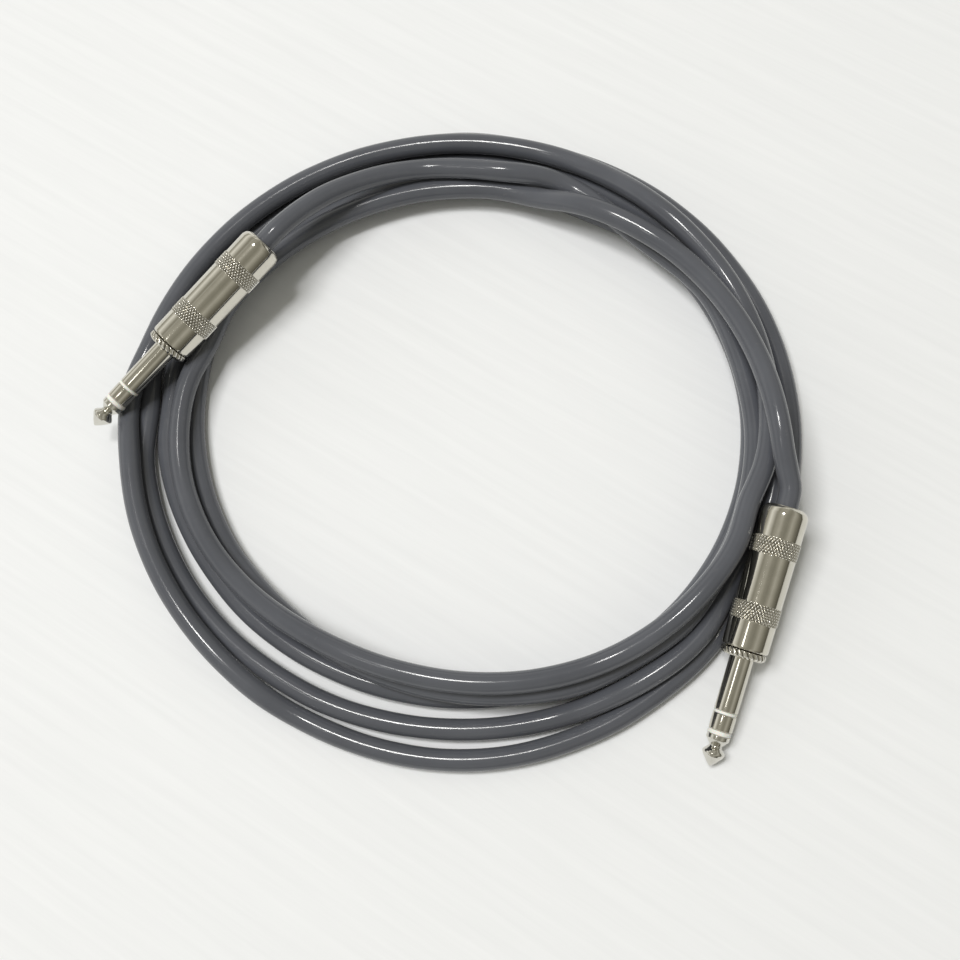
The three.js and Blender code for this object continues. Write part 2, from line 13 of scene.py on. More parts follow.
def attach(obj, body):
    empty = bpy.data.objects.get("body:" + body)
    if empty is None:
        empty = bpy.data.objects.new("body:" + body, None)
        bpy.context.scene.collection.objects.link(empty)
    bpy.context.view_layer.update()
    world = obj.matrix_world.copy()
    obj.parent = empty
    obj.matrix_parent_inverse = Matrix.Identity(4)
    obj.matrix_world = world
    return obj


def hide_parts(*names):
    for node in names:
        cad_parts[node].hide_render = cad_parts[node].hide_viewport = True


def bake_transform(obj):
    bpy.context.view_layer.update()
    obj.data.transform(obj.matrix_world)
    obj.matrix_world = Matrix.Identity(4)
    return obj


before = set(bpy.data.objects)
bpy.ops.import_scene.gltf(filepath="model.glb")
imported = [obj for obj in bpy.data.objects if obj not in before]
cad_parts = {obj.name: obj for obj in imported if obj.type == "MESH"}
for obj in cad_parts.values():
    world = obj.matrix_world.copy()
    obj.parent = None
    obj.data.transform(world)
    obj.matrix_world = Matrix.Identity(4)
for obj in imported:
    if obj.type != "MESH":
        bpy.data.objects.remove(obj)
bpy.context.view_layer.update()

# ------------------------------------------------------------------ layout (mm, degrees)
MM_PER_M = 1000.0
SHIFT = np.array([10.84440, -13.91089, -0.20065])     # path frame to row frame
PLUG_LENGTH = 70.6
# place of the tip in the path frame, heading from +x towards +y, rise towards the butt
PLUGS = {
    "left": ((-109.01, 15.11, 11.3), 45.2, 8.7),
    "right": ((60.4, -79.1, 3.3), 71.7, 11.0),
}

CABLE_RADIUS = 2.98
CABLE_LENGTH = 2851.9576                              # from left butt to right butt

# centreline of the cable from left butt to right butt in equal steps: x,y,z of five points a line
PATH = np.array([
    -59.84,64.63,21.98, -56.35,68.14,22.74, -53.02,71.79,22.08, -49.63,75.31,20.97, -45.99,78.55,19.86,
    -42.13,81.48,18.64, -38.14,84.10,17.19, -33.98,86.45,15.73, -29.61,88.47,14.41, -25.05,90.11,13.21,
    -20.30,91.27,12.30, -15.37,91.88,11.89, -10.39,91.91,12.03, -5.45,91.47,12.50, -0.54,90.72,13.05,
    4.37,89.86,13.45, 9.31,89.13,13.48, 14.24,88.67,12.89, 19.04,88.19,11.67, 23.61,87.04,10.26,
    28.01,84.93,9.46, 32.15,82.15,9.37, 36.04,79.02,9.37, 39.81,75.74,9.14, 43.56,72.46,8.75,
    47.34,69.20,8.48, 51.11,65.91,8.49, 54.83,62.57,8.73, 58.48,59.17,9.03, 61.95,55.59,9.27,
    65.01,51.65,9.39, 67.53,47.35,9.43, 69.58,42.79,9.42, 71.28,38.09,9.40, 72.73,33.31,9.40,
    73.96,28.46,9.41, 74.98,23.56,9.44, 75.76,18.62,9.47, 76.22,13.65,9.48, 76.28,8.65,9.48,
    75.94,3.67,9.47, 75.20,-1.28,9.46, 74.10,-6.15,9.52, 72.77,-10.97,9.76, 71.27,-15.72,10.16,
    69.44,-20.33,10.70, 67.14,-24.71,11.34, 64.47,-28.90,11.92, 61.71,-33.06,12.20, 58.91,-37.19,12.18,
    55.81,-41.09,11.97, 52.23,-44.53,11.54, 48.25,-47.45,10.81, 44.07,-50.03,9.95, 39.76,-52.48,9.27,
    35.35,-54.82,8.95, 30.80,-56.87,8.91, 26.08,-58.47,9.04, 21.22,-59.60,9.21, 16.28,-60.35,9.35,
    11.30,-60.80,9.43, 6.30,-60.97,9.47, 1.30,-60.87,9.47, -3.68,-60.48,9.42, -8.63,-59.80,9.33,
    -13.54,-58.85,9.21, -18.39,-57.64,9.05, -23.16,-56.16,8.85, -27.85,-54.42,8.62, -32.43,-52.42,8.34,
    -36.88,-50.17,7.98, -41.18,-47.66,7.51, -45.32,-44.92,6.90, -49.29,-41.99,6.16, -53.12,-38.87,5.33,
    -56.80,-35.59,4.51, -60.35,-32.15,3.80, -63.75,-28.53,3.30, -66.96,-24.72,3.06, -69.94,-20.69,3.01,
    -72.60,-16.46,3.01, -74.95,-12.05,3.01, -77.00,-7.49,3.01, -78.75,-2.81,3.01, -80.20,1.98,3.01,
    -81.34,6.84,3.01, -82.18,11.77,3.01, -82.68,16.75,3.01, -82.85,21.74,3.01, -82.69,26.74,3.01,
    -82.25,31.72,3.01, -81.54,36.67,3.01, -80.48,41.55,3.01, -79.00,46.31,3.01, -77.06,50.92,3.01,
    -74.69,55.32,3.01, -71.99,59.52,3.01, -68.99,63.52,3.01, -65.74,67.32,3.01, -62.22,70.87,3.01,
    -58.45,74.15,3.01, -54.45,77.15,3.01, -50.26,79.87,3.01, -45.90,82.31,3.01, -41.40,84.49,3.01,
    -36.80,86.45,3.01, -32.10,88.15,3.01, -27.31,89.57,3.01, -22.43,90.69,3.01, -17.50,91.50,3.01,
    -12.53,92.04,3.01, -7.54,92.28,3.01, -2.55,92.17,3.01, 2.42,91.58,3.01, 7.31,90.55,3.01,
    12.14,89.24,3.01, 16.90,87.72,3.01, 21.59,85.98,3.01, 26.18,84.00,3.01, 30.70,81.86,3.01,
    35.20,79.68,3.01, 39.72,77.54,3.01, 44.19,75.30,3.01, 48.43,72.66,3.01, 52.31,69.52,3.01,
    55.85,66.00,3.01, 59.11,62.21,3.01, 62.14,58.23,3.01, 64.93,54.09,3.01, 67.43,49.76,3.01,
    69.63,45.27,3.01, 71.54,40.65,3.01, 73.18,35.93,3.01, 74.50,31.11,3.01, 75.48,26.21,3.01,
    76.12,21.25,3.01, 76.41,16.26,3.01, 76.35,11.26,3.01, 75.95,6.28,3.01, 75.22,1.33,3.01,
    74.17,-3.55,3.01, 72.79,-8.36,3.01, 71.10,-13.06,3.01, 69.09,-17.64,3.01, 66.78,-22.07,3.01,
    64.18,-26.34,3.01, 61.31,-30.43,3.01, 58.18,-34.33,3.01, 54.79,-38.01,3.01, 51.17,-41.45,3.01,
    47.32,-44.64,3.01, 43.25,-47.54,3.01, 38.98,-50.14,3.01, 34.55,-52.46,3.01, 30.01,-54.55,3.01,
    25.37,-56.42,3.01, 20.64,-58.02,3.01, 15.80,-59.29,3.01, 10.89,-60.24,3.01, 5.94,-60.89,3.01,
    0.95,-61.26,3.01, -4.05,-61.34,3.01, -9.04,-61.15,3.01, -14.02,-60.67,3.01, -18.96,-59.90,3.01,
    -23.85,-58.86,3.01, -28.68,-57.55,3.01, -33.42,-55.98,3.01, -38.08,-54.16,3.01, -42.64,-52.10,3.01,
    -47.08,-49.80,3.01, -51.38,-47.25,3.01, -55.53,-44.46,3.01, -59.52,-41.46,3.01, -63.31,-38.20,3.01,
    -66.88,-34.69,3.01, -70.21,-30.96,3.01, -73.32,-27.05,3.01, -76.25,-23.00,3.01, -79.00,-18.82,3.01,
    -81.50,-14.49,3.01, -83.75,-10.02,3.01, -85.72,-5.43,3.01, -87.42,-0.73,3.01, -88.81,4.07,3.01,
    -89.78,8.96,3.01, -90.11,13.94,3.01, -89.89,18.92,3.01, -89.66,23.92,3.01, -89.65,28.92,3.01,
    -89.53,33.92,3.01, -88.97,38.88,3.01, -87.89,43.75,3.01, -86.36,48.51,3.01, -84.49,53.14,3.01,
    -82.27,57.62,3.01, -79.72,61.92,3.01, -76.86,66.02,3.01, -73.73,69.91,3.01, -70.34,73.58,3.01,
    -66.71,77.03,3.01, -62.87,80.22,3.01, -58.82,83.16,3.01, -54.59,85.82,3.01, -50.20,88.21,3.01,
    -45.68,90.33,3.01, -41.04,92.20,3.01, -36.31,93.83,3.01, -31.51,95.23,3.01, -26.65,96.42,3.01,
    -21.75,97.40,3.01, -16.80,98.14,3.01, -11.82,98.60,3.01, -6.82,98.76,3.01, -1.83,98.56,3.01,
    3.13,97.96,3.01, 8.03,96.99,3.01, 12.88,95.74,3.01, 17.67,94.30,3.07, 22.37,92.63,3.32,
    26.95,90.70,3.85, 31.37,88.50,4.60, 35.64,86.08,5.52, 39.76,83.45,6.56, 43.73,80.60,7.59,
    47.58,77.52,8.35, 51.37,74.29,8.71, 55.14,71.00,8.72, 58.86,67.66,8.47, 62.48,64.23,8.06,
    65.96,60.68,7.54, 69.16,56.88,7.03, 71.92,52.74,6.67, 74.22,48.31,6.52, 76.16,43.71,6.49,
    77.83,38.99,6.53, 79.24,34.19,6.60, 80.38,29.33,6.64, 81.24,24.40,6.69, 81.86,19.44,6.82,
    82.26,14.46,7.07, 82.40,9.47,7.36, 82.20,4.48,7.62, 81.66,-0.48,7.79, 80.71,-5.38,7.78,
    79.36,-10.18,7.49, 77.60,-14.82,6.96, 75.44,-19.29,6.46, 72.91,-23.60,6.28, 70.19,-27.77,6.53,
    67.53,-31.96,7.14, 65.13,-36.28,7.84, 62.71,-40.62,8.30, 59.83,-44.68,8.42, 56.43,-48.33,8.39,
    52.63,-51.57,8.28, 48.55,-54.44,8.07, 44.29,-57.02,7.68, 39.90,-59.33,7.06, 35.42,-61.38,6.20,
    30.89,-63.23,5.16, 26.29,-64.90,4.16, 21.57,-66.34,3.43, 16.73,-67.52,3.09, 11.81,-68.44,3.01,
    6.86,-69.11,3.01, 1.87,-69.53,3.01, -3.12,-69.70,3.01, -8.12,-69.62,3.01, -13.11,-69.30,3.01,
    -18.08,-68.74,3.01, -23.02,-67.94,3.01, -27.91,-66.89,3.01, -32.74,-65.61,3.01, -37.50,-64.07,3.01,
    -42.16,-62.26,3.01, -46.70,-60.16,3.01, -51.10,-57.79,3.01, -55.40,-55.23,3.01, -59.59,-52.51,3.01,
    -63.65,-49.59,3.01, -67.54,-46.44,3.01, -71.23,-43.07,3.01, -74.71,-39.48,3.01, -77.98,-35.69,3.01,
    -81.02,-31.73,3.01, -83.83,-27.59,3.01, -86.41,-23.31,3.01, -88.74,-18.88,3.01, -90.81,-14.34,3.01,
    -92.64,-9.68,3.01, -94.22,-4.94,3.01, -95.52,-0.11,3.01, -96.47,4.79,3.01, -96.87,9.76,3.01,
    -96.67,14.76,3.01, -96.26,19.75,3.01, -96.12,24.72,3.01, -96.23,29.72,3.01, -96.20,34.72,3.01,
    -95.59,39.67,3.01, -94.45,44.54,3.01, -92.98,49.31,3.01, -91.20,53.98,3.01, -89.09,58.51,3.01,
    -86.68,62.89,3.01, -84.00,67.11,3.01, -81.07,71.16,3.01, -77.89,75.02,3.01, -74.46,78.66,3.01,
    -70.81,82.07,3.01, -66.96,85.25,3.01, -62.92,88.20,3.01, -58.71,90.91,3.01, -54.36,93.37,3.01,
    -49.87,95.58,3.01, -45.27,97.54,3.01, -40.58,99.26,3.01, -35.80,100.75,3.01, -30.97,102.03,3.01,
    -26.08,103.11,3.01, -21.16,103.99,3.01, -16.21,104.67,3.01, -11.23,105.11,3.01, -6.23,105.25,3.01,
    -1.24,105.03,3.01, 3.72,104.40,3.01, 8.62,103.42,3.01, 13.47,102.21,3.01, 18.28,100.85,3.01,
    23.05,99.33,3.01, 27.77,97.66,3.01, 32.41,95.80,3.01, 36.96,93.72,3.01, 41.38,91.39,3.01,
    45.68,88.83,3.01, 49.82,86.03,3.01, 53.80,83.01,3.01, 57.61,79.76,3.01, 61.22,76.31,3.01,
    64.64,72.66,3.01, 67.84,68.82,3.01, 70.83,64.81,3.01, 73.61,60.65,3.01, 76.18,56.36,3.01,
    78.53,51.95,3.01, 80.59,47.40,3.01, 82.34,42.71,3.01, 83.80,37.93,3.01, 85.02,33.08,3.01,
    85.98,28.18,3.01, 86.67,23.22,3.01, 87.09,18.24,3.01, 87.24,13.24,3.01, 87.09,8.25,3.01,
    86.62,3.27,3.01, 85.88,-1.68,3.01, 84.94,-6.59,3.01, 83.85,-11.47,3.01, 82.52,-16.29,3.01,
    80.71,-20.94,3.01, 78.36,-25.33,3.01, 75.58,-29.49,3.01, 72.54,-33.45,3.00, 69.44,-37.37,3.00,
    66.51,-41.43,3.00, 63.57,-45.48,3.01, 60.35,-49.29,3.01, 56.80,-52.81,3.01, 53.00,-56.06,3.01,
    49.03,-59.10,3.01, 44.96,-62.00,3.01, 40.77,-64.73,3.01, 36.44,-67.24,3.01, 31.96,-69.45,3.01,
    27.35,-71.38,3.01, 22.65,-73.09,3.01, 17.87,-74.58,3.01, 13.02,-75.80,3.01, 8.11,-76.72,3.01,
    3.15,-77.34,3.01, -1.84,-77.66,3.01, -6.84,-77.67,3.01, -11.83,-77.40,3.01, -16.80,-76.84,3.01,
    -21.73,-76.00,3.01, -26.61,-74.90,3.01, -31.42,-73.54,3.01, -36.15,-71.93,3.01, -40.80,-70.09,3.01,
    -45.36,-68.04,3.05, -49.83,-65.81,3.30, -54.16,-63.40,3.90, -58.30,-60.75,4.78, -62.25,-57.81,5.69,
    -66.03,-54.63,6.43, -69.68,-51.25,6.96, -73.19,-47.71,7.35, -76.54,-44.02,7.67, -79.72,-40.16,7.93,
    -82.70,-36.15,8.13, -85.48,-32.00,8.28, -88.04,-27.70,8.40, -90.37,-23.28,8.49, -92.46,-18.74,8.58,
    -94.29,-14.09,8.66, -95.84,-9.33,8.76, -97.09,-4.49,8.87, -98.06,0.42,8.96, -98.85,5.36,8.96,
    -99.63,10.28,8.65, -100.45,15.12,7.77, -101.02,19.93,6.70, -100.79,24.73,6.82, -99.46,29.29,8.10,
    -97.44,33.73,9.15, -95.48,38.31,9.43, -93.71,42.99,9.38, -91.87,47.64,9.27, -89.80,52.19,9.15,
    -87.48,56.61,9.01, -84.90,60.89,8.89, -82.08,65.02,8.78, -79.03,68.98,8.70, -75.75,72.76,8.65,
    -72.26,76.34,8.63, -68.57,79.71,8.62, -64.70,82.87,8.62, -60.65,85.80,8.63, -56.44,88.50,8.65,
    -52.09,90.96,8.67, -47.60,93.17,8.69, -43.00,95.14,8.72, -38.30,96.85,8.73, -33.52,98.30,8.73,
    -28.67,99.51,8.72, -23.76,100.47,8.68, -18.81,101.18,8.65, -13.83,101.61,8.67, -8.83,101.76,8.71,
    -3.83,101.63,8.72, 1.15,101.25,8.67, 6.11,100.58,8.66, 11.02,99.62,8.71, 15.87,98.41,8.78,
    20.64,96.91,8.89, 25.26,95.06,9.23, 29.70,92.85,9.84, 33.91,90.32,10.71, 37.92,87.54,11.79,
    41.75,84.56,12.96, 45.48,81.42,14.03, 49.16,78.14,14.77, 52.81,74.74,15.10, 56.38,71.23,15.10,
    59.82,67.61,14.85, 63.09,63.85,14.42, 66.16,59.94,13.88, 68.99,55.85,13.34, 71.51,51.54,13.01,
    73.67,47.03,12.90, 75.50,42.39,12.89, 77.03,37.63,12.99, 78.21,32.79,13.27, 79.05,27.88,13.70,
    79.55,22.93,14.21, 79.72,17.96,14.68, 79.59,12.98,15.03, 79.16,8.00,15.25, 78.35,3.08,15.39,
    76.99,-1.71,15.54, 74.98,-6.28,15.78, 72.79,-10.74,16.16, 71.13,-15.40,16.64, 69.56,-20.11,17.21,
    67.42,-24.56,17.85, 64.72,-28.71,18.41, 61.66,-32.64,18.67, 58.31,-36.35,18.57, 54.72,-39.82,18.24,
    50.91,-43.01,17.71, 46.90,-45.90,16.96, 42.72,-48.50,16.11, 38.35,-50.80,15.39, 33.80,-52.82,14.93,
    29.12,-54.56,14.75, 24.34,-55.99,14.83, 19.47,-57.11,15.05, 14.54,-57.93,15.27, 9.57,-58.43,15.42,
    4.58,-58.63,15.50, -0.42,-58.52,15.53, -5.40,-58.13,15.51, -10.35,-57.46,15.46, -15.26,-56.52,15.36,
    -20.12,-55.34,15.23, -24.92,-53.93,15.07, -29.64,-52.28,14.86, -34.28,-50.42,14.60, -38.83,-48.37,14.23,
    -43.27,-46.13,13.72, -47.61,-43.72,13.04, -51.81,-41.15,12.19, -55.86,-38.39,11.25, -59.78,-35.42,10.34,
    -63.54,-32.23,9.58, -67.12,-28.80,9.05, -70.48,-25.11,8.76, -73.54,-21.16,8.63, -76.30,-16.99,8.57,
    -78.74,-12.63,8.50, -80.83,-8.09,8.40, -82.55,-3.41,8.31, -83.86,1.41,8.34, -84.72,6.33,8.52,
    -85.12,11.30,8.77, -85.10,16.29,9.02, -84.68,21.27,9.22, -83.79,26.17,9.36, -82.25,30.92,9.38,
    -80.17,35.45,9.13, -78.13,39.98,8.76, -76.37,44.65,8.64, -74.50,49.27,8.72, -72.08,53.63,8.71,
    -69.16,57.67,8.55, -65.90,61.46,8.34, -62.42,65.03,8.12, -58.72,68.39,7.91, -54.81,71.50,7.74,
    -50.70,74.34,7.64, -46.40,76.90,7.62, -41.96,79.19,7.62, -37.40,81.23,7.59, -32.73,83.02,7.55,
    -27.96,84.53,7.50, -23.11,85.75,7.47, -18.20,86.67,7.44, -13.24,87.28,7.39, -8.24,87.56,7.36,
    -3.24,87.52,7.45, 1.74,87.12,7.65, 6.66,86.31,7.87, 11.50,85.07,8.06, 16.14,83.40,8.69,
    20.52,81.64,10.15, 24.87,80.01,11.92, 29.27,78.22,13.42, 33.68,76.12,14.47, 38.09,73.84,14.98,
    42.48,71.44,15.02, 46.75,68.84,14.91, 50.83,65.96,14.96, 54.68,62.78,15.21, 58.29,59.34,15.53,
    61.62,55.67,15.86, 64.68,51.79,16.29, 67.44,47.73,16.85, 69.95,43.51,17.49, 72.19,39.15,18.19,
    74.15,34.67,18.91, 75.85,30.07,19.67, 77.31,25.38,20.42, 78.54,20.59,21.05, 79.58,15.73,21.46,
    80.42,10.81,21.53, 81.08,5.90,21.11, 81.70,1.06,20.10, 82.54,-3.76,18.86, 83.20,-8.64,17.75,
    82.11,-13.30,16.77,
]).reshape(-1, 3) + SHIFT


def plug_frame(side):
    """Tip of a plug in the row frame, and its x, y and z axes as rows."""
    tip, heading, rise = PLUGS[side]
    heading, rise = math.radians(heading), math.radians(rise)
    x = np.array([math.cos(heading) * math.cos(rise),
                  math.sin(heading) * math.cos(rise),
                  math.sin(rise)])
    y = np.cross([0, 0, 1.0], x)
    y /= np.linalg.norm(y)
    return np.array(tip) + SHIFT, np.array([x, y, np.cross(x, y)])


# ------------------------------------------------------------------ mesh helpers
def unit(value):
    return np.clip(value, 0, 1)


def new_mesh(name, verts, faces, material, sharp, relief=None):
    """Smooth-shaded object from points in mm; edges steeper than `sharp` degrees stay sharp."""
    mesh = bpy.data.meshes.new(name)
    mesh.from_pydata((verts / MM_PER_M).tolist(), [], faces)
    mesh.validate()
    mesh.materials.append(material)
    mesh.polygons.foreach_set("use_smooth", np.ones(len(mesh.polygons), bool))
    mesh.set_sharp_from_angle(angle=math.radians(sharp))
    if relief is not None:
        attribute = mesh.attributes.new("relief", "FLOAT", "POINT")
        attribute.data.foreach_set("value", np.asarray(relief, np.float32).ravel())
    mesh.update()
    obj = bpy.data.objects.new(name, mesh)
    bpy.context.scene.collection.objects.link(obj)
    return obj


def skin(rings, closed=False, start=None, end=None):
    """Verts and faces over rings of points (ring, side, xyz).

    `closed` joins the last ring to the first; `start` and `end` are the centres of end fans.
    """
    count, sides = rings.shape[:2]
    i = np.arange(count if closed else count - 1)[:, None]
    j = np.arange(sides)[None, :]
    this, following = i * sides, (i + 1) % count * sides
    beside = (j + 1) % sides
    quads = [this + j, this + beside, following + beside, following + j]
    faces = np.stack(quads, -1).reshape(-1, 4).tolist()
    verts = rings.reshape(-1, 3)
    if start is not None:
        faces += [(len(verts), (k + 1) % sides, k) for k in range(sides)]
        verts = np.vstack([verts, start])
    if end is not None:
        last = (count - 1) * sides
        faces += [(len(verts), last + k, last + (k + 1) % sides) for k in range(sides)]
        verts = np.vstack([verts, end])
    return verts, faces


def revolve(name, side, stations, radii, material, sharp, closed=True, relief=None):
    """Plug piece from rings about the x axis; an open one begins and ends at points."""
    radii = np.asarray(radii, float)
    angle = np.arange(radii.shape[1]) / radii.shape[1] * 2 * math.pi
    x = np.broadcast_to(np.asarray(stations, float)[:, None], radii.shape)
    rings = np.stack([x, radii * np.cos(angle), radii * np.sin(angle)], -1)
    if closed:
        verts, faces = skin(rings, closed=True)
    else:
        verts, faces = skin(rings[1:-1], start=rings[0, 0], end=rings[-1, 0])
    origin, axes = plug_frame(side)
    return new_mesh(name, origin + verts @ axes, faces, material, sharp, relief)


def fillet(points, segments):
    """Round the corners of a profile of (x, radius[, corner size]); its end points stay."""
    out = []
    for i, point in enumerate(points):
        corner = np.array(point[:2], float)
        if len(point) < 3 or i in (0, len(points) - 1):
            out.append(corner)
            continue
        back = np.array(points[i - 1][:2], float) - corner
        ahead = np.array(points[i + 1][:2], float) - corner
        back_length, ahead_length = np.linalg.norm(back), np.linalg.norm(ahead)
        back /= back_length
        ahead /= ahead_length
        angle = math.acos(np.clip(back @ ahead, -1, 1))
        reach = min(point[2] / math.tan(angle / 2), back_length * 0.49, ahead_length * 0.49)
        start, end = corner + back * reach, corner + ahead * reach
        for k in range(segments + 1):
            t = k / segments
            out.append((1 - t) ** 2 * start + 2 * t * (1 - t) * corner + t ** 2 * end)
    return np.array(out)


def lathe(name, side, profile, material, sides, segments, sharp, closed=True):
    points = fillet(profile, segments)
    apart = np.linalg.norm(np.diff(points, axis=0), axis=1) > 1e-4
    points = points[np.r_[True, apart]]
    radii = np.repeat(points[:, 1:2], sides, 1)
    return revolve(name, side, points[:, 0], radii, material, sharp, closed)


class Rings:
    """Rings of a closed plug piece, each with a station, a radius and a relief round it."""

    def __init__(self, sides):
        self.sides = sides
        self.angle = np.arange(sides) / sides * 2 * math.pi
        self.stations, self.radii, self.relief = [], [], []

    def add(self, x, radius, relief=0.0):
        self.stations.append(x)
        self.radii.append(np.broadcast_to(radius, self.sides))
        self.relief.append(np.broadcast_to(relief, self.sides))

    def straight(self, stations, radius):
        for x in stations:
            self.add(x, radius)

    def profile(self, points, segments=3):
        for x, radius in fillet(points, segments):
            self.add(x, radius)

    def build(self, name, side, material, sharp):
        return revolve(name, side, self.stations, self.radii, material, sharp,
                       relief=self.relief)


# ------------------------------------------------------------------ shader helpers
BLACK, WHITE = (0, 0, 0), (1, 1, 1)


def scaled(color, gain, offset=0.0):
    return tuple(min(1, channel * gain + offset) for channel in color)


class Graph:
    """Short calls for building one node tree; each returns an output socket."""

    def __init__(self, tree):
        self.tree = tree

    def add(self, kind, **settings):
        node = self.tree.nodes.new(kind)
        for key, value in settings.items():
            setattr(node, key, value)
        return node

    def feed(self, socket, value):
        if isinstance(value, bpy.types.NodeSocket):
            self.tree.links.new(value, socket)
        else:
            socket.default_value = (*value, 1) if isinstance(value, tuple) else value

    def surface(self, inputs):
        bsdf = self.tree.nodes["Principled BSDF"]
        for key, value in inputs.items():
            self.feed(bsdf.inputs[key], value)

    def mapped(self, scale=(1, 1, 1), rotation=(0, 0, 0)):
        coordinates = self.add("ShaderNodeTexCoord")
        node = self.add("ShaderNodeMapping")
        node.inputs["Scale"].default_value = scale
        node.inputs["Rotation"].default_value = rotation
        self.feed(node.inputs["Vector"], coordinates.outputs["Object"])
        return node.outputs["Vector"]

    def noise(self, vector, scale, detail=4, roughness=0.55, distortion=0.0):
        node = self.add("ShaderNodeTexNoise")
        values = {"Scale": scale, "Detail": detail, "Roughness": roughness,
                  "Distortion": distortion, "Vector": vector}
        for key, value in values.items():
            self.feed(node.inputs[key], value)
        return node.outputs["Fac"]

    def ramp(self, source, stops):
        node = self.add("ShaderNodeValToRGB")
        elements = node.color_ramp.elements
        while len(elements) < len(stops):
            elements.new(0.5)
        for element, (position, color) in zip(elements, stops):
            element.position = position
            element.color = (*color, 1)
        self.feed(node.inputs[0], source)
        return node.outputs[0]

    def two_tone(self, source, low, high, start=0.3, end=0.7):
        return self.ramp(source, [(start, low), (end, high)])

    def edge_wear(self, start=0.52, end=0.6):
        """Mask that is white on convex edges."""
        geometry = self.add("ShaderNodeNewGeometry")
        return self.two_tone(geometry.outputs["Pointiness"], BLACK, WHITE, start, end)

    def math(self, operation, *values):
        node = self.add("ShaderNodeMath", operation=operation)
        for socket, value in zip(node.inputs, values):
            self.feed(socket, value)
        return node.outputs[0]

    def linear(self, source, gain, offset):
        return self.math("MULTIPLY_ADD", source, gain, offset)

    def mix(self, factor, color_a, color_b):
        node = self.add("ShaderNodeMix", data_type="RGBA")
        # sockets 0, 6 and 7 are the factor and the two colours; output 2 is the colour
        for index, value in ((0, factor), (6, color_a), (7, color_b)):
            self.feed(node.inputs[index], value)
        return node.outputs[2]

    def tint(self, mask, amount, base, color):
        """Lay a colour over the base where the mask is white."""
        return self.mix(self.math("MULTIPLY", mask, amount), base, color)

    def bump(self, height, strength, distance):
        node = self.add("ShaderNodeBump")
        values = {"Strength": strength, "Distance": distance, "Height": height}
        for key, value in values.items():
            self.feed(node.inputs[key], value)
        self.surface({"Normal": node.outputs["Normal"]})


def new_material(name):
    material = bpy.data.materials.new(name)
    material.use_nodes = True
    return material, Graph(material.node_tree)


# ------------------------------------------------------------------ materials
def nickel(name, rotation, color, roughness):
    """Polished nickel plate: faint draw lines, haze, worn edges, painted shade in the cut grooves
    (relief below 0) and a painted highlight on the crests (relief above 0)."""
    material, graph = new_material(name)
    vector = graph.mapped()
    haze = graph.noise(vector, scale=260, detail=5, roughness=0.6)
    spots = graph.noise(vector, scale=1400, detail=3, roughness=0.5)
    wear = graph.edge_wear()
    relief = graph.add("ShaderNodeAttribute", attribute_name="relief").outputs["Fac"]
    groove = graph.math("MAXIMUM", graph.math("MULTIPLY", relief, -1.0), 0.0)
    crest = graph.math("MAXIMUM", relief, 0.0)
    base = graph.two_tone(haze, scaled(color, 0.95), scaled(color, 1.05))
    base = graph.tint(wear, 0.6, base, (0.80, 0.78, 0.72))
    # painted shade: grooves darkened to stand for the shade that falls in them
    base = graph.tint(groove, 0.80, base, (0.075, 0.068, 0.055))
    # painted highlight: crests brightened to stand for the glints on them
    base = graph.tint(crest, 0.75, base, (0.97, 0.96, 0.92))
    rough = graph.linear(haze, gain=0.06, offset=roughness - 0.03)
    rough = graph.linear(spots, gain=0.02, offset=rough)
    rough = graph.linear(graph.math("ADD", groove, crest), gain=0.22, offset=rough)
    graph.surface({"Base Color": base, "Metallic": 1.0, "Roughness": rough})
    lines = graph.noise(graph.mapped((160, 160, 160), rotation),
                        scale=6.0, detail=6, roughness=0.7)
    graph.bump(lines, strength=0.04, distance=0.00002)
    return material


def jacket_pvc():
    """Grey flexible PVC: satin, slightly cloudy, fine-grained and scuffed."""
    material, graph = new_material("cable_pvc")
    vector = graph.mapped()
    cloud = graph.noise(vector, scale=45)
    grain = graph.noise(vector, scale=1900, detail=3, roughness=0.6)
    scuff = graph.noise(vector, scale=420, detail=6, roughness=0.75, distortion=0.6)
    scuff = graph.two_tone(scuff, BLACK, WHITE, start=0.60, end=0.72)
    base = graph.two_tone(cloud, (0.080, 0.085, 0.099), (0.099, 0.105, 0.121))
    base = graph.tint(scuff, 0.18, base, (0.19, 0.19, 0.195))
    rough = graph.linear(cloud, gain=0.08, offset=0.095)
    rough = graph.linear(scuff, gain=0.12, offset=rough)
    graph.surface({"Base Color": base, "Roughness": rough, "IOR": 1.53,
                   "Specular IOR Level": 0.42, "Sheen Weight": 0.05, "Sheen Roughness": 0.5})
    fine = graph.math("MULTIPLY", grain, 0.35)
    coarse = graph.math("MULTIPLY", graph.noise(vector, scale=300, roughness=0.5), 0.6)
    graph.bump(graph.math("ADD", fine, coarse), strength=0.14, distance=0.00006)
    return material


def plastic(name, color, roughness, scale, bump, variation, subsurface=0.0):
    """Moulded plastic with paler edges; `variation` is the spread of the colour."""
    material, graph = new_material(name)
    vector = graph.mapped()
    cloud = graph.noise(vector, scale=scale * 0.25)
    grain = graph.noise(vector, scale=scale * 3, detail=3)
    wear = graph.edge_wear(start=0.53, end=0.64)
    base = graph.two_tone(cloud, scaled(color, 1 - variation), scaled(color, 1 + variation))
    base = graph.tint(wear, 0.25, base, scaled(color, 1.3, offset=0.03))
    rough = graph.linear(cloud, gain=0.14, offset=roughness - 0.07)
    graph.surface({"Base Color": base, "Roughness": rough, "Specular IOR Level": 0.5})
    if subsurface:
        graph.surface({"Subsurface Weight": subsurface, "Subsurface Scale": 0.0008})
    graph.bump(grain, strength=bump, distance=0.00005)
    return material


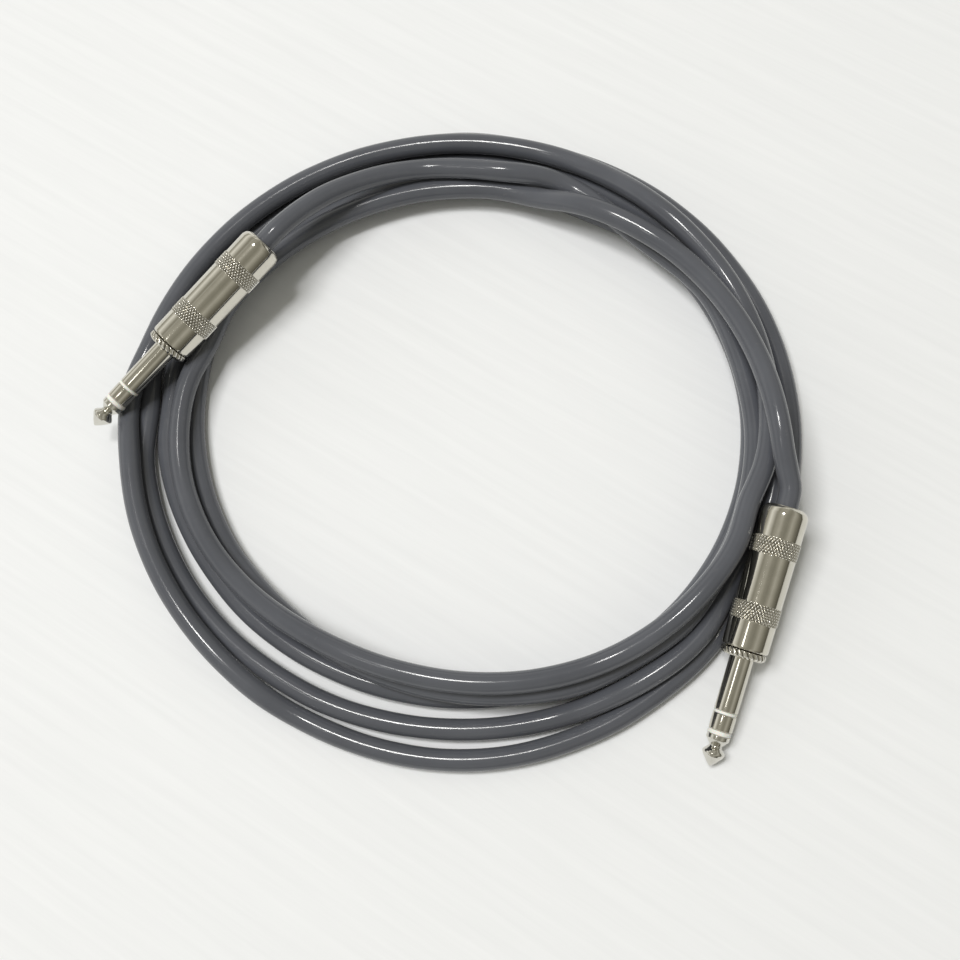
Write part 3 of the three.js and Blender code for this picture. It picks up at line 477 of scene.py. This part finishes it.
def rough_metal(name, color, roughness):
    material, graph = new_material(name)
    vector = graph.mapped()
    cloud = graph.noise(vector, scale=300, detail=5, roughness=0.65)
    wear = graph.edge_wear()
    base = graph.two_tone(cloud, scaled(color, 0.85), color)
    base = graph.tint(wear, 0.5, base, scaled(color, 1.25))
    rough = graph.linear(cloud, gain=0.2, offset=roughness - 0.1)
    graph.surface({"Base Color": base, "Metallic": 1.0, "Roughness": rough})
    graph.bump(graph.noise(vector, scale=1500, detail=3), strength=0.15, distance=0.00004)
    return material


def fibre():
    """Rough red-brown washer fibre."""
    material, graph = new_material("washer_fibre")
    grain = graph.noise(graph.mapped(), scale=700, detail=6, roughness=0.8)
    base = graph.two_tone(grain, (0.20, 0.06, 0.035), (0.36, 0.13, 0.075))
    graph.surface({"Base Color": base, "Roughness": 0.8})
    graph.bump(grain, strength=0.5, distance=0.0001)
    return material


JACKET = jacket_pvc()
INSULATOR = plastic("insulator_white", (0.80, 0.795, 0.755), roughness=0.32, scale=600,
                    bump=0.05, variation=0.03, subsurface=0.15)
LINER = plastic("liner_plastic", (0.62, 0.65, 0.66), roughness=0.42, scale=400,
                bump=0.1, variation=0.04)
COPPER = rough_metal("copper_strands", (0.75, 0.36, 0.19), roughness=0.35)
TIN = rough_metal("tinned_metal", (0.58, 0.58, 0.56), roughness=0.38)
FIBRE = fibre()

# ------------------------------------------------------------------ plug pieces
# profiles are (x, radius[, corner size]) in the plug frame
TIP_PROFILE = [
    (0, 0), (0.03, 0.18), (0.16, 0.42), (1.1, 1.36, 1.5), (2.7, 2.66, 1.2), (3.35, 3.0, 0.6),
    (3.75, 2.98, 0.3), (4.15, 2.72, 0.3), (5.18, 1.76, 0.3), (5.42, 1.71, 0.2),
    (5.62, 1.76, 0.2), (6.9, 2.80, 0.4), (7.15, 3.02, 0.2), (7.32, 3.08, 0.1),
    (8.28, 3.08, 0.08), (8.38, 2.98, 0.04), (8.39, 2.9), (8.39, 0.76), (43.0, 0.76),
    (43.05, 1.55, 0.1), (43.5, 1.5, 0.3), (43.85, 0.9, 0.2), (43.9, 0),
]
# bands behind the tip, each with a thin tube running back: name, piece replaced, slot, profile
BANDS = [
    ("insulator_front_band", "insulator_tip", "insulator",
     [(8.43, 0.86), (8.43, 2.98, 0.06), (8.56, 3.12, 0.08), (9.50, 3.12, 0.08),
      (9.60, 3.02, 0.04), (9.60, 1.15), (41.0, 1.15), (41.0, 0.86)]),
    ("ring_band", "ring_contact", "nickel",
     [(9.66, 1.25), (9.66, 3.0, 0.06), (9.84, 3.175, 0.1), (13.82, 3.175, 0.1),
      (13.98, 3.02, 0.06), (13.98, 1.6), (41.0, 1.6), (41.0, 1.25)]),
    ("insulator_rear_band", "insulator_ring", "insulator",
     [(14.02, 1.7), (14.02, 3.06, 0.04), (14.12, 3.14, 0.06), (14.70, 3.14, 0.06),
      (14.79, 3.06, 0.04), (14.79, 2.0), (39.4, 2.0), (39.4, 1.7)]),
]
# CAD pieces that keep their shape and only get a material
REPAINTED = {
    "ground_clamp": TIN, "ring_lug": TIN, "tip_lug": TIN,
    "washer_front": FIBRE, "washer_rear": FIBRE, "liner_tube": LINER,
    "copper_red": COPPER, "copper_white": COPPER,
}

FINGER_RADIUS = 3.175
SLEEVE_FRONT, SLEEVE_REAR, SLEEVE_BORE = 14.84, 38.5, 2.12
COLLAR_FRONT, COLLAR_LENGTH, COLLAR_RADIUS = 29.5, 2.0, 5.98
COLLAR_TEETH, TOOTH_DEPTH, TOOTH_SLANT = 24, 0.42, 2.6    # slant in radians per mm
THREAD_PITCH, THREAD_ROOT, THREAD_DEPTH = 0.907, 4.40, 0.48

BARREL_RADIUS = 6.23
BARREL_SIDES = 416
KNURL_RINGS = 68
KNURL_DIAMONDS, KNURL_PERIOD = 44, 1.4                # count round the barrel, length of one
KNURL_SINK, KNURL_HEIGHT = 0.16, 0.30
KNURL_MARGIN = 0.05                                   # to the plain ring beside a band


def add_collar(rings):
    """Slanted rounded ridges with sharp grooves, fading at the bevelled front and the rear."""
    for x in np.linspace(COLLAR_FRONT, COLLAR_FRONT + COLLAR_LENGTH, 22):
        t = (x - COLLAR_FRONT) / COLLAR_LENGTH
        bevel = 0.95 * (1 - unit(t / 0.42)) ** 1.6
        rear_bevel = 0.22 * unit((t - 0.86) / 0.14) ** 1.5
        phase = rings.angle * COLLAR_TEETH + (x - COLLAR_FRONT) * TOOTH_SLANT
        tooth = np.abs(np.sin(phase / 2)) ** 0.75
        depth = TOOTH_DEPTH * unit((t + 0.12) / 0.2) * unit((1.05 - t) / 0.14)
        shown = unit((t - 0.10) / 0.12) * unit((1.0 - t) / 0.08)
        # relief is above 0 on the ridge tops, painted as highlight by the nickel material, and below 0 in
        # the grooves, painted as shade
        relief = unit((tooth - 0.86) / 0.14) * 0.8 - unit((0.62 - tooth) / 0.35)
        rings.add(x, COLLAR_RADIUS - bevel - rear_bevel - depth * (1 - tooth), shown * relief)


def add_thread(rings):
    for x in np.arange(32.4, 38.05, THREAD_PITCH / 10):
        turn = (x / THREAD_PITCH - rings.angle / (2 * math.pi)) % 1.0
        height = 1 - np.abs(2 * turn - 1)                 # 0 root, 1 crest
        flank = unit((height - 0.12) / 0.76)
        fade = unit((x - 32.3) / 0.5) * unit((38.15 - x) / 0.5)
        rings.add(x, THREAD_ROOT + THREAD_DEPTH * flank * fade)


def make_sleeve(side, material):
    """Finger sleeve, serrated collar and threaded boss in one closed surface."""
    rings = Rings(264)
    rings.profile([(SLEEVE_FRONT, SLEEVE_BORE), (SLEEVE_FRONT, 3.02, 0.03),
                   (SLEEVE_FRONT + 0.02, 3.05, 0.02), (15.0, FINGER_RADIUS, 0.08),
                   (16.2, FINGER_RADIUS)])
    rings.straight(np.linspace(18, 28.9, 6), FINGER_RADIUS)
    rings.profile([(29.1, FINGER_RADIUS), (29.46, FINGER_RADIUS + 0.02, 0.1),
                   (COLLAR_FRONT, FINGER_RADIUS + 0.35, 0.05), (COLLAR_FRONT, 4.7)])
    add_collar(rings)
    rings.profile([(31.52, 5.6), (31.55, 5.2, 0.1), (31.6, 4.75, 0.15), (32.0, 4.62, 0.1),
                   (32.3, 4.62)])
    add_thread(rings)
    rings.profile([(38.2, 4.42), (SLEEVE_REAR, 4.2, 0.1), (SLEEVE_REAR, 2.14)])
    rings.straight((SLEEVE_REAR, 14.9), SLEEVE_BORE)
    return rings.build(f"{side}_sleeve", side, material, sharp=42)


def add_knurl(rings, start, end):
    """Band of raised diamonds where two families of slanted grooves cross."""
    rings.add(start - KNURL_MARGIN, BARREL_RADIUS)
    for x in np.linspace(start, end, KNURL_RINGS):
        t = (x - start) / (end - start)
        around = KNURL_DIAMONDS * rings.angle / 2
        along = (x - start) * math.pi / KNURL_PERIOD
        height = np.minimum(unit(np.abs(np.sin(around + along)) * 1.25),
                            unit(np.abs(np.sin(around - along)) * 1.25))
        fade = unit(min(t / 0.05, (1 - t) / 0.05))
        # relief is above 0 on the diamond tops, painted as highlight by the nickel material, and below 0 in
        # the grooves, painted as shade
        relief = unit((height - 0.66) / 0.30) * 0.9 - unit((0.50 - height) / 0.34)
        rings.add(x, BARREL_RADIUS - KNURL_SINK * fade + (KNURL_HEIGHT * fade) * height,
                  fade * relief)
    rings.add(end + KNURL_MARGIN, BARREL_RADIUS)


def make_barrel(side, material):
    """Barrel with two knurled bands and a rounded rear end with a lip round the cable hole."""
    rings = Rings(BARREL_SIDES)
    rings.profile([(31.8, 5.3), (31.8, 5.85, 0.06), (32.02, 6.12, 0.1),
                   (32.4, BARREL_RADIUS, 0.15), (34, BARREL_RADIUS)])
    rings.straight((36.0, 38.6), BARREL_RADIUS)
    add_knurl(rings, 39.2, 44.2)
    rings.straight(np.linspace(45, 56.6, 7), BARREL_RADIUS)
    add_knurl(rings, 57.1, 61.9)
    rings.straight(np.linspace(62.8, 67.6, 4), BARREL_RADIUS)
    rings.profile([(67.9, BARREL_RADIUS), (68.6, BARREL_RADIUS - 0.03, 0.8),
                   (69.7, 5.85, 0.9), (70.35, 5.15, 0.5), (70.45, 4.72, 0.08),
                   (PLUG_LENGTH, 4.62, 0.12), (PLUG_LENGTH, 4.20, 0.12),
                   (70.42, 4.06, 0.1), (66.0, 4.05)], segments=4)
    # the bore, from the rear forwards
    rings.straight((66.0, 40.4), 5.2)
    rings.add(32.1, 5.22)
    return rings.build(f"{side}_barrel_shell", side, material, sharp=40)


def register(obj, carrier, replaced):
    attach(obj, carrier)
    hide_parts(replaced)


def make_plug(side):
    _, heading, rise = PLUGS[side]
    rotation = (0, math.radians(rise), -math.radians(heading))
    plate = nickel(f"nickel_{side}", rotation, color=(0.66, 0.635, 0.56), roughness=0.085)
    tip_plate = nickel(f"nickel_tip_{side}", rotation, color=(0.70, 0.685, 0.63),
                       roughness=0.075)
    body = f"{side}_plug"

    tip = lathe(f"{side}_tip", side, TIP_PROFILE, tip_plate, sides=72, segments=5, sharp=50,
                closed=False)
    register(tip, body, f"{side}_tip_contact")
    for name, replaced, slot, profile in BANDS:
        material = plate if slot == "nickel" else INSULATOR
        band = lathe(f"{side}_{name}", side, profile, material, sides=96, segments=4, sharp=40)
        register(band, body, f"{side}_{replaced}")
    register(make_sleeve(side, plate), body, f"{side}_sleeve_body")
    barrel = make_barrel(side, plate)
    register(barrel, f"{side}_barrel_shell", f"{side}_barrel")
    barrel.name = f"{side}_barrel_skin"

    for name, material in REPAINTED.items():
        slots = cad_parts[f"{side}_{name}"].data.materials
        slots.clear()
        slots.append(material)


for side in ("left", "right"):
    make_plug(side)


# ------------------------------------------------------------------ cable
CABLE_SIDES = 32
TANGENT_REACH = 0.4


def full_path():
    """Centreline and its stations, carried on into both plugs along their axes."""
    inside = np.arange(16.0, 0.5, -2.5)                   # distance in from the butt
    left_tip, left_axes = plug_frame("left")
    right_tip, right_axes = plug_frame("right")
    before = left_tip + (PLUG_LENGTH - inside)[:, None] * left_axes[0]
    after = right_tip + (PLUG_LENGTH - inside[::-1])[:, None] * right_axes[0]
    stations = np.linspace(0.0, CABLE_LENGTH, len(PATH))
    return (np.vstack([before, PATH, after]),
            np.r_[-inside, stations, CABLE_LENGTH + inside[::-1]])


CENTRES, STATIONS = full_path()


def centre(query):
    """Centreline points at the queried stations, on a Catmull-Rom curve."""
    query = np.asarray(query, float)
    i = np.clip(np.searchsorted(STATIONS, query, side="right") - 1, 0, len(STATIONS) - 2)
    padded = np.vstack([2 * CENTRES[0] - CENTRES[1], CENTRES, 2 * CENTRES[-1] - CENTRES[-2]])
    p0, p1, p2, p3 = (padded[i + k] for k in range(4))
    t = ((query - STATIONS[i]) / (STATIONS[i + 1] - STATIONS[i]))[:, None]
    return 0.5 * ((2 * p1) + (-p0 + p2) * t + (2 * p0 - 5 * p1 + 4 * p2 - p3) * t ** 2
                  + (-p0 + 3 * p1 - 3 * p2 + p3) * t ** 3)


def make_cable(name, start, end, step=1.6):
    """Jacket between two stations, slightly wavy and capped at both ends."""
    count = max(2, int(math.ceil((end - start) / step)))
    s = np.linspace(start, end, count + 1)
    middle = centre(s)
    along = (centre(np.minimum(s + TANGENT_REACH, STATIONS[-1]))
             - centre(np.maximum(s - TANGENT_REACH, STATIONS[0])))
    along /= np.linalg.norm(along, axis=1)[:, None]
    across = np.cross([0, 0, 1.0], along)
    across /= np.linalg.norm(across, axis=1)[:, None]
    up = np.cross(along, across)
    angle = np.arange(CABLE_SIDES) / CABLE_SIDES * 2 * math.pi
    waviness = 0.018 * np.sin(s * 0.31 + 1.3) + 0.012 * np.sin(s * 0.083)
    ovality = 0.012 * np.sin(2 * angle + s[:, None] * 0.05)
    radius = CABLE_RADIUS + waviness[:, None] + ovality
    outward = (across[:, None, :] * np.cos(angle)[None, :, None]
               + up[:, None, :] * np.sin(angle)[None, :, None])
    rings = middle[:, None, :] + outward * radius[..., None]
    verts, faces = skin(rings, start=middle[0], end=middle[-1])
    obj = new_mesh(name, verts, faces, JACKET, sharp=60)
    return obj


IN_PLUG = 15.5                                        # length of cable inside each plug
LEFT_BUTT_JOINT, LEFT_COIL_JOINT = 1.5, 30.0
RIGHT_COIL_JOINT = CABLE_LENGTH - 51.0
RIGHT_LINK_JOINT = CABLE_LENGTH - 24.0
RIGHT_BUTT_JOINT = CABLE_LENGTH - LEFT_BUTT_JOINT

piece = make_cable("cable_left_in_plug", -IN_PLUG, LEFT_BUTT_JOINT)
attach(piece, "left_plug")
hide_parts("left_end_shield", "left_end_conductor_red", "left_end_conductor_white")

piece = make_cable("cable_left_bend", LEFT_BUTT_JOINT, LEFT_COIL_JOINT, step=1.2)
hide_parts("left_end_jacket")
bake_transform(piece)

piece = make_cable("cable_coil", LEFT_COIL_JOINT, RIGHT_COIL_JOINT)
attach(piece, "coil")
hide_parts("coil_jacket", "coil_shield", "coil_conductor_red", "coil_conductor_white")

piece = make_cable("cable_right_lift_bend", RIGHT_COIL_JOINT, RIGHT_LINK_JOINT, step=1.2)
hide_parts("right_link_jacket", "right_link_shield", "right_link_conductor_red",
            "right_link_conductor_white")
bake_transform(piece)

piece = make_cable("cable_right_swing_bend", RIGHT_LINK_JOINT, RIGHT_BUTT_JOINT, step=1.0)
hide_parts("right_end_jacket")
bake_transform(piece)

piece = make_cable("cable_right_in_plug", RIGHT_BUTT_JOINT, CABLE_LENGTH + IN_PLUG)
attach(piece, "right_plug")
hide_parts("right_end_shield", "right_end_conductor_red", "right_end_conductor_white")


# ------------------------------------------------------------------ floor (m)
def make_floor(half=3.0, z=-0.00012):
    """Pale table top with faint streaks."""
    mesh = bpy.data.meshes.new("floor")
    corners = [(-half, -half, z), (half, -half, z), (half, half, z), (-half, half, z)]
    mesh.from_pydata(corners, [], [(0, 1, 2, 3)])
    obj = bpy.data.objects.new("floor", mesh)
    bpy.context.scene.collection.objects.link(obj)
    material, graph = new_material("table_top")
    turned = graph.mapped(rotation=(0, 0, math.radians(32)))
    stretch = graph.add("ShaderNodeMapping")
    stretch.inputs["Scale"].default_value = (4, 90, 1)
    graph.feed(stretch.inputs["Vector"], turned)
    streaks = graph.noise(stretch.outputs["Vector"], scale=4.0, detail=5, roughness=0.6)
    base = graph.two_tone(streaks, (0.772, 0.79, 0.81), (0.818, 0.836, 0.856),
                          start=0.25, end=0.75)
    graph.surface({"Base Color": base, "Roughness": 0.55, "Specular IOR Level": 0.3})
    mesh.materials.append(material)


make_floor()


# ------------------------------------------------------------------ lights (m, W)
def area_light(name, direction, distance, size, power, color):
    """Rectangular light out along a direction from the origin, facing back to it."""
    light = bpy.data.lights.new(name, "AREA")
    light.shape = "RECTANGLE"
    light.size, light.size_y = size
    light.energy = power
    light.color = color
    obj = bpy.data.objects.new(name, light)
    obj.location = Vector(direction).normalized() * distance
    obj.rotation_euler = (-obj.location).to_track_quat("-Z", "Y").to_euler()
    bpy.context.scene.collection.objects.link(obj)
    return obj


# nearly overhead, slightly to the left and away
area_light("ceiling_panel", (-0.117, 0.11, 0.987), distance=1.6, size=(0.24, 0.16),
           power=6.0, color=(1.0, 0.985, 0.965))
# broad main light, tilted about 20 degrees to the left so that shadows fall to the right
main_light = area_light("main_left", (-0.35, 0.05, 0.935), distance=2.4, size=(0.74, 0.74),
                        power=29.5, color=(1.0, 0.985, 0.97))
main_light.visible_glossy = False
area_light("lamp_near_left", (-0.332, -0.17, 0.928), distance=1.2, size=(0.10, 0.10),
           power=0.17, color=(1.0, 0.99, 0.97))

# ------------------------------------------------------------------ world
# bands of the room: degrees from overhead towards the near right, brightness
ROOM = [
    (-95, 0.30), (-80, 0.46), (-66, 0.95), (-52, 0.62), (-40, 0.31), (-27, 0.40), (-6, 0.43),
    (5, 0.32), (20, 0.28), (30, 0.34), (42, 0.48), (52, 0.40), (66, 0.24), (84, 0.125),
    (95, 0.12),
]
NEAR_RIGHT = (0.866, -0.50)                           # x and y of that direction
ROOM_SPAN = 220                                       # degrees covered by the colour ramp


def room_color(brightness):
    """Grey that is warmer where it is dim."""
    k = min(1.0, max(0.0, (brightness - 0.15) / 0.6))
    return (brightness, brightness * (0.955 + 0.035 * k), brightness * (0.78 + 0.16 * k))


def make_world():
    world = bpy.data.worlds.new("studio")
    bpy.context.scene.world = world
    world.use_nodes = True
    graph = Graph(world.node_tree)
    coordinates = graph.add("ShaderNodeTexCoord")
    split = graph.add("ShaderNodeSeparateXYZ")
    graph.feed(split.inputs[0], coordinates.outputs["Generated"])
    x, y, z = split.outputs
    sideways = graph.math("ADD", graph.math("MULTIPLY", x, NEAR_RIGHT[0]),
                          graph.math("MULTIPLY", y, NEAR_RIGHT[1]))
    position = graph.linear(graph.math("ARCTAN2", sideways, z),
                            gain=180.0 / math.pi / ROOM_SPAN, offset=0.5)
    color = graph.ramp(position, [((angle + ROOM_SPAN / 2) / ROOM_SPAN, room_color(value))
                                  for angle, value in ROOM])
    # the camera itself sees a plain colour past the floor
    rays = graph.add("ShaderNodeLightPath")
    color = graph.mix(rays.outputs["Is Camera Ray"], color, (0.80, 0.80, 0.775))
    background = world.node_tree.nodes["Background"]
    graph.feed(background.inputs["Color"], color)
    background.inputs["Strength"].default_value = 1.0


make_world()


# ------------------------------------------------------------------ camera
def make_camera(tilt=math.radians(14.6), pan=math.radians(3.7), distance=341.0):
    """Looks down at the origin of the path frame, from slightly near and right of it."""
    z = np.array([math.sin(pan), -math.sin(tilt) * math.cos(pan),
                  math.cos(tilt) * math.cos(pan)])
    x = np.cross([0, 1.0, 0], z)
    x /= np.linalg.norm(x)
    pose = np.eye(4)
    pose[:3] = np.column_stack([x, np.cross(z, x), z, (z * distance + SHIFT) / MM_PER_M])
    camera = bpy.data.cameras.new("camera")
    camera.sensor_width = 36.0
    camera.lens = 45.0
    camera.clip_start = 0.005
    obj = bpy.data.objects.new("camera", camera)
    obj.matrix_world = Matrix(pose.tolist())
    bpy.context.scene.collection.objects.link(obj)
    bpy.context.scene.camera = obj


make_camera()
bpy.context.scene.view_settings.view_transform = "Standard"
